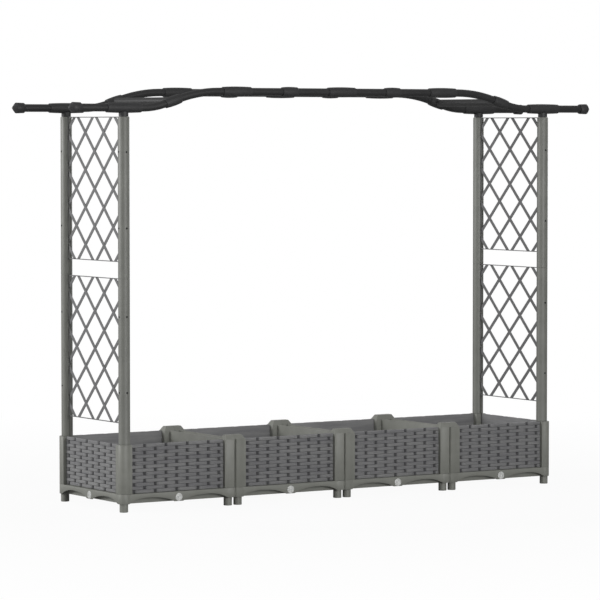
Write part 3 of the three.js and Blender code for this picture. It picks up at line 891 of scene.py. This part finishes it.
def post(profile, low, high):
    """A post whose channel looks to +Y, with a slot for the trellis in the channel's floor."""
    piece = turned(profile, sides=POST_ROUND)
    floor = POST_RADIUS - CHANNEL_DEPTH
    for width, depth in ((CHANNEL_WIDTH, floor), (SLOT_WIDTH, floor - SLOT_DEPTH)):
        cut(piece, [cube((-width / 2, depth, low), (width / 2, POST_RADIUS + PAST, high))])
    return piece


def lower_post():
    edge = POST_ROUNDING
    low = RIM + FIT
    profile = [
        (FOOT_SPIGOT_RADIUS, SOCKET_FLOOR), (FOOT_SPIGOT_RADIUS, low), (POST_RADIUS - edge, low),
        (POST_RADIUS, low + edge), (POST_RADIUS, POST_SEAM - edge / 2), (POST_RADIUS - edge / 2, POST_SEAM),
        (SPIGOT_RADIUS, POST_SEAM), (SPIGOT_RADIUS, POST_SEAM + SPIGOT_LENGTH)]
    return post(profile, low - PAST / 2, POST_SEAM + PAST / 2)


def upper_post():
    edge = POST_ROUNDING
    low = POST_SEAM + FIT
    bore = SPIGOT_RADIUS + FIT
    profile = [
        (bore, low + 2 * SPIGOT_LENGTH), (bore, low), (POST_RADIUS - edge / 2, low),
        (POST_RADIUS, low + edge / 2), (POST_RADIUS, POST_TOP - POST_SHOULDER),
        (POST_RADIUS - edge, POST_TOP), (bore, POST_TOP), (bore, POST_TOP - 2 * SPIGOT_LENGTH)]
    return post(profile, low - PAST / 2, POST_TOP + PAST / 2)


def screw():
    """A pan-head screw with a cross recess, its axis along Y and its head towards -Y."""
    rounding = [(1, 0), (1, 0.5 * MM), (0.86, 1.1 * MM), (0.5, 1.5 * MM)]
    profile = [(0.6 * SCREW_RADIUS, SCREW_SHANK)]
    profile += [(share * SCREW_RADIUS, -height) for share, height in rounding]
    head = turned(profile, sides=SCREW_ROUND)
    for x, y in ((CROSS_HALF_WIDTH, CROSS_REACH), (CROSS_REACH, CROSS_HALF_WIDTH)):
        cut(head, [cube((-x, -y, CROSS_FLOOR - PAST), (x, y, CROSS_FLOOR))])
    return lay(head, "X", -math.pi / 2)


def lattice_strips(slope, skin_low, skin_high, crossing, bottom, top, reach):
    """The strips of one direction, in the plane x = 0, cut off at the panel's frame."""
    strips = cube((skin_low, -STRIP_REACH, -STRIP_WIDTH / 2), (skin_high, STRIP_REACH, STRIP_WIDTH / 2))
    lay(strips, "X", slope * math.pi / 4)
    shift(strips, (0, 0, crossing - STRIP_COUNT // 2 * DIAMOND_PITCH))
    repeat(strips, STRIP_COUNT, (0, 0, DIAMOND_PITCH))
    edit()
    for y, z, side_y, side_z in ((reach, 0, 1, 0), (-reach, 0, -1, 0), (0, top, 0, 1), (0, bottom, 0, -1)):
        split((0, y, z), (0, side_y, side_z), clear_outer=True, use_fill=True)
    leave()
    return soften(LATTICE_ROUNDING, 1)


def trellis(top):
    """A lattice panel at x = 0: two layers of flat strips that sink into each other, in a thin frame."""
    bottom = top - LATTICE_HEIGHT
    reach = POST_Y - POST_RADIUS + CHANNEL_DEPTH + SLOT_DEPTH - FIT
    skin = LATTICE_THICKNESS / 2
    edge = LATTICE_EDGE / 2
    crossing = top + CROSSING_RISE
    layers = [
        lattice_strips(1, -skin, LAP, crossing, bottom + edge, top - edge, reach - edge),
        lattice_strips(-1, -LAP, skin, crossing, bottom + edge, top - edge, reach - edge)]
    rim = cube((-skin, -reach, bottom), (skin, reach, top))
    edit()
    pick("FACE", lambda centre, normal: abs(normal.x) > 0.9)
    bpy.ops.mesh.inset(thickness=LATTICE_EDGE, depth=0)
    bpy.ops.mesh.bridge_edge_loops()
    face_outwards()
    leave()
    return join([rim] + layers)


def place_posts():
    one_screw = screw()
    lower = lower_post()
    upper = upper_post()
    out = at(0, SCREW_SUNK - POST_RADIUS, 0)
    for name, side_x, side_y in OUTER_CORNERS:
        place = at(side_x * POST_X, side_y * POST_Y, 0) @ flipped(-side_x, -side_y)
        dress(copy_of(lower, place), f"tube_post_lower_{name}", POST, [f"post_lower_{name}"])
        dress(copy_of(upper, place), f"tube_post_upper_{name}", POST, [f"post_upper_{name}"])
        heads = []
        for height in SCREW_HEIGHTS:
            for turns in (0, -1):
                heads.append(copy_of(one_screw, place @ at(0, 0, height) @ quarter(turns) @ out))
        dress(join(heads), f"screws_{name}", SCREW, [])
    drop(one_screw, lower, upper)
    for side, x in (("left", -POST_X), ("right", POST_X)):
        for tier, top in (("lower", POST_SEAM), ("upper", POST_TOP)):
            node = f"trellis_{tier}_{side}"
            dress(shift(trellis(top), (x, 0, 0)), f"lattice_{tier}_{side}", LATTICE_GREY, [node])


# ---------------------------------------------------------------- the arch


def barrel(length):
    """A sleeve along X, thickest in its middle, with softened mouths."""
    reach = length / 2
    bore = RAIL_RADIUS + FIT
    mouth = BARREL_END - BARREL_LIP
    profile = [(bore, -reach), (mouth, -reach)]
    for step in range(BARREL_STEPS + 1):
        share = 2 * step / BARREL_STEPS - 1
        radius = BARREL_MIDDLE - (BARREL_MIDDLE - BARREL_END) * share * share
        profile.append((radius, share * (reach - BARREL_LIP)))
    profile += [(mouth, reach), (bore, reach), (bore, -reach)]
    return lay(turned(profile, ring=True), "Y")


def rail_cap():
    """An end cap with its mouth at the origin and its tip towards +X. It widens a little to its shoulder."""
    mouth = CAP_RADIUS - CAP_TAPER
    shoulder = CAP_LENGTH - CAP_TIP_LENGTH
    profile = [
        (RAIL_RADIUS, 0), (mouth - CAP_LIP, 0), (mouth, SOFT_EDGE), (CAP_RADIUS, shoulder - CAP_EDGE),
        (CAP_RADIUS - CAP_EDGE / 2, shoulder), (CAP_TIP_RADIUS + CAP_EDGE, CAP_LENGTH - CAP_EDGE),
        (CAP_TIP_RADIUS, CAP_LENGTH)]
    return lay(turned(profile), "Y")


def bent_tube():
    """The left end of a rail at y = 0: straight over the post, bent up, straight, and bent back to level."""
    start = CAP_TIP_LENGTH - RAIL_END
    slant_x = SLANT_LENGTH * math.cos(BEND_ANGLE)
    slant_z = SLANT_LENGTH * math.sin(BEND_ANGLE)
    lower_x = SLANTED_RUNG.x - slant_x / 2 - LOWER_BEND_RADIUS * math.sin(BEND_ANGLE)
    upper_x = SLANTED_RUNG.x + slant_x / 2 + UPPER_BEND_RADIUS * math.sin(BEND_ANGLE)
    bpy.ops.mesh.primitive_circle_add(
        vertices=ROUND, radius=RAIL_RADIUS, location=(start, 0, RAIL_HEIGHT), rotation=(0, math.pi / 2, 0))
    settle()
    edit()
    bpy.ops.mesh.select_all(action="SELECT")
    extrude((lower_x - start, 0, 0))
    bpy.ops.mesh.spin(
        steps=LOWER_BEND_STEPS, angle=BEND_ANGLE, axis=(0, 1, 0),
        center=(lower_x, 0, RAIL_HEIGHT + LOWER_BEND_RADIUS))
    extrude((slant_x, 0, slant_z))
    bpy.ops.mesh.spin(
        steps=UPPER_BEND_STEPS, angle=-BEND_ANGLE, axis=(0, 1, 0),
        center=(upper_x, 0, CROWN_HEIGHT - UPPER_BEND_RADIUS))
    extrude((-COUPLER_X - upper_x, 0, 0))
    for end in (start, -COUPLER_X):
        pick("VERT", lambda p: abs(p.x - end) < NEAR)
        bpy.ops.mesh.edge_face_add()
    face_outwards()
    return leave()


def straight_tube():
    """The crown's tube at y = 0, from the middle of the left coupler to the middle of the row."""
    return shift(lay(turned([(RAIL_RADIUS, -COUPLER_X), (RAIL_RADIUS, 0)]), "Y"), (0, 0, CROWN_HEIGHT))


def tee():
    """The fitting on a post: a short upright stub, its spigot in the post, and a barrel round the rail."""
    foot_height = POST_TOP + FIT
    stub = turned([
        (SPIGOT_RADIUS, POST_TOP - TEE_SPIGOT_LENGTH), (SPIGOT_RADIUS, foot_height),
        (STUB_RADIUS - THIN_EDGE, foot_height), (STUB_RADIUS, foot_height + THIN_EDGE),
        (STUB_RADIUS, RAIL_HEIGHT - RAIL_RADIUS)])
    return join([stub, shift(barrel(TEE_LENGTH), (0, 0, RAIL_HEIGHT))])


def rung():
    """A rung at the origin: a tube from front to back and a sleeve round each rail."""
    reach = POST_Y - RAIL_RADIUS
    tube = lay(turned([(RAIL_RADIUS, -reach), (RAIL_RADIUS, reach)]), "X")
    sleeves = [shift(barrel(SLEEVE_LENGTH), (0, side * POST_Y, 0)) for side in (-1, 1)]
    return [tube] + sleeves


def place_rails():
    cap = rail_cap()
    coupler = barrel(COUPLER_LENGTH)
    bend = bent_tube()
    span = straight_tube()
    for name, y in (("front", -POST_Y), ("back", POST_Y)):
        left_cap = copy_of(cap, at(CAP_LENGTH - RAIL_END, y, RAIL_HEIGHT) @ flipped(-1))
        dress(left_cap, f"cap_{name}_left", FITTING, [])
        tubes = (
            ("left_bend", bend, at(0, y, 0)), ("right_bend", bend, at(0, y, 0) @ flipped(-1)),
            ("left_span", span, at(0, y, 0)), ("right_span", span, at(COUPLER_X, y, 0)))
        for stretch, model, place in tubes:
            tube = copy_of(model, place)
            dress(tube, f"tube_{name}_{stretch}", TUBE, [f"rail_{name}_{stretch}"])
        for joint, x in (("left", -COUPLER_X), ("middle", 0), ("right", COUPLER_X)):
            piece = copy_of(coupler, at(x, y, CROWN_HEIGHT))
            dress(piece, f"coupler_{name}_{joint}", FITTING, [])
        right_cap = copy_of(cap, at(RAIL_END - CAP_LENGTH, y, RAIL_HEIGHT))
        dress(right_cap, f"cap_{name}_right", FITTING, [f"rail_{name}_right_cap"])
    drop(cap, coupler, bend, span)


def place_tees():
    fitting = tee()
    for name, side_x, side_y in OUTER_CORNERS:
        piece = copy_of(fitting, at(side_x * POST_X, side_y * POST_Y, 0))
        dress(piece, f"fitting_{name}", FITTING, [f"tee_{name}"])
    drop(fitting)


def place_rungs():
    """Four rungs. The outer two lean with the slants of the rails."""
    parts = rung()
    for number, lean in ((1, -BEND_ANGLE), (2, 0), (3, 0), (4, BEND_ANGLE)):
        place = Matrix.Translation(middle(f"rung_{number}")) @ Matrix.Rotation(lean, 4, "Y")
        tube, *sleeves = [copy_of(part, place) for part in parts]
        dress(tube, f"tube_rung_{number}", TUBE, [f"rung_{number}"])
        dress(join(sleeves), f"sleeves_rung_{number}", FITTING, [])
    drop(*parts)


# ---------------------------------------------------------------- drain plugs


def drain_plug():
    """A plug in the front apron of a box whose middle is at the origin, with rings on its face."""
    profile = [(radius * MM, depth * MM) for radius, depth in PLUG_RINGS]
    profile += [
        (PLUG_RADIUS - PLUG_ROUNDING, 0), (PLUG_RADIUS - 0.3 * PLUG_ROUNDING, 0.3 * PLUG_ROUNDING),
        (PLUG_RADIUS, PLUG_ROUNDING), (PLUG_RADIUS, PLUG_HEAD), (PLUG_STEM_RADIUS, PLUG_HEAD),
        (PLUG_STEM_RADIUS, PLUG_HEAD + PLUG_STEM - PLUG_ROUNDING),
        (PLUG_STEM_RADIUS - PLUG_ROUNDING, PLUG_HEAD + PLUG_STEM)]
    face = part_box("drain_plug_front_1")[0].y
    return shift(lay(turned(profile), "X", -math.pi / 2), (0, face, PLUG_HEIGHT))


def place_plugs():
    plug = drain_plug()
    stands = [(f"drain_plug_front_{number}", at(x, 0, 0)) for number, x in BOX_X.items()]
    stands.append(("drain_plug_left", at(BOX_X[1], 0, 0) @ quarter(-1)))
    stands.append(("drain_plug_right", at(BOX_X[4], 0, 0) @ quarter(1)))
    for node, place in stands:
        piece = copy_of(plug, place)
        dress(piece, node.replace("drain_plug", "ringed_plug"), PLUG, [node], body=node)
    drop(plug)


place_bases()
place_panels()
place_columns()
place_posts()
place_rails()
place_tees()
place_rungs()
place_plugs()

# ---------------------------------------------------------------- floor, light and camera

WHITE = (1, 1, 1, 1)
FLOOR_SIZE = 60
# Between these distances from the middle, the white share of the floor that the camera sees grows to 1.
FADE_START = 1.2
FADE_END = 3.5
FADE_SHARE = 0.95
# The room's light at the horizon and overhead
HORIZON = 0.22
ZENITH = 0.6
CAMERA_PLACE = (-6.645, -10.299, 1.299)
CAMERA_DOWN = math.radians(2.87)
CAMERA_HEADING = math.radians(-32.66)
LENS = 207.4
SENSOR = 36
CLIP_END = 60


def studio_floor():
    """A matt pale sheet that takes a soft shadow round the object. The camera sees it nearly white, and
    further out it runs into the white backdrop."""
    bpy.ops.mesh.primitive_plane_add(size=FLOOR_SIZE, location=(0, 0, 0))
    floor = bpy.context.object
    floor.name = "studio_floor"
    material, tree = blank_material("matt_pale_sheet")
    place = add(tree, "ShaderNodeTexCoord").outputs["Object"]
    fibre = add(tree, "ShaderNodeTexNoise", {"Vector": place, "Scale": per_metre(400), "Detail": 2})
    greys = tones(tree, fibre.outputs["Fac"], "A6A6A6", "ACACAC")
    matt = add(tree, "ShaderNodeBsdfDiffuse", {"Color": greys})
    distance = add(tree, "ShaderNodeVectorMath", {0: place}, operation="LENGTH")
    share = add(tree, "ShaderNodeMapRange", {
        "Value": distance.outputs["Value"], "From Min": FADE_START, "From Max": FADE_END,
        "To Min": FADE_SHARE, "To Max": 1})
    path = add(tree, "ShaderNodeLightPath")
    part = add(tree, "ShaderNodeMath", {
        0: path.outputs["Is Camera Ray"], 1: share.outputs["Result"]}, operation="MULTIPLY")
    white = add(tree, "ShaderNodeEmission", {"Color": WHITE, "Strength": 1.0})
    finish_material(tree, add(tree, "ShaderNodeMixShader", {
        0: part.outputs[0], 1: matt.outputs[0], 2: white.outputs[0]}))
    floor.data.materials.append(material)


def studio_world():
    """A soft room that is brighter overhead than at the walls. The camera sees plain white."""
    world = bpy.data.worlds.new("studio")
    bpy.context.scene.world = world
    world.use_nodes = True
    tree = world.node_tree
    tree.nodes.clear()
    path = add(tree, "ShaderNodeLightPath")
    way = add(tree, "ShaderNodeTexCoord").outputs["Generated"]
    height = add(tree, "ShaderNodeSeparateXYZ", {"Vector": way}).outputs["Z"]
    strength = add(tree, "ShaderNodeMapRange", {"Value": height, "To Min": HORIZON, "To Max": ZENITH})
    dim = add(tree, "ShaderNodeBackground", {"Color": WHITE, "Strength": strength.outputs["Result"]})
    white = add(tree, "ShaderNodeBackground", {"Color": WHITE, "Strength": 1.0})
    mix = add(tree, "ShaderNodeMixShader", {
        0: path.outputs["Is Camera Ray"], 1: dim.outputs[0], 2: white.outputs[0]})
    add(tree, "ShaderNodeOutputWorld", {"Surface": mix.outputs[0]})


def soft_lamp(name, place, aim, size, power):
    """A rectangle of light that looks at the aim."""
    bpy.ops.object.light_add(type="AREA", location=place)
    lamp = bpy.context.object
    lamp.name = name
    lamp.data.shape = "RECTANGLE"
    lamp.data.size, lamp.data.size_y = size
    lamp.data.energy = power
    lamp.rotation_euler = (Vector(aim) - Vector(place)).to_track_quat("-Z", "Y").to_euler()


studio_floor()
studio_world()
soft_lamp("left_window", place=(-5.4, 2.4, 2.4), aim=(-0.9, 0, 0.4), size=(3.4, 2.5), power=285)
soft_lamp("right_wall", place=(6, 3.5, 2.6), aim=(0.5, 0, 0.5), size=(4, 3), power=130)
soft_lamp("front_window", place=(-0.5, -7, 1.9), aim=(0, 0, 0.6), size=(2, 3), power=262)

bpy.ops.object.camera_add(location=CAMERA_PLACE, rotation=(math.pi / 2 - CAMERA_DOWN, 0, CAMERA_HEADING))
camera = bpy.context.object
camera.name = "camera"
camera.data.lens = LENS
camera.data.sensor_width = SENSOR
camera.data.clip_end = CLIP_END
bpy.context.scene.camera = camera
bpy.context.scene.view_settings.view_transform = "Standard"
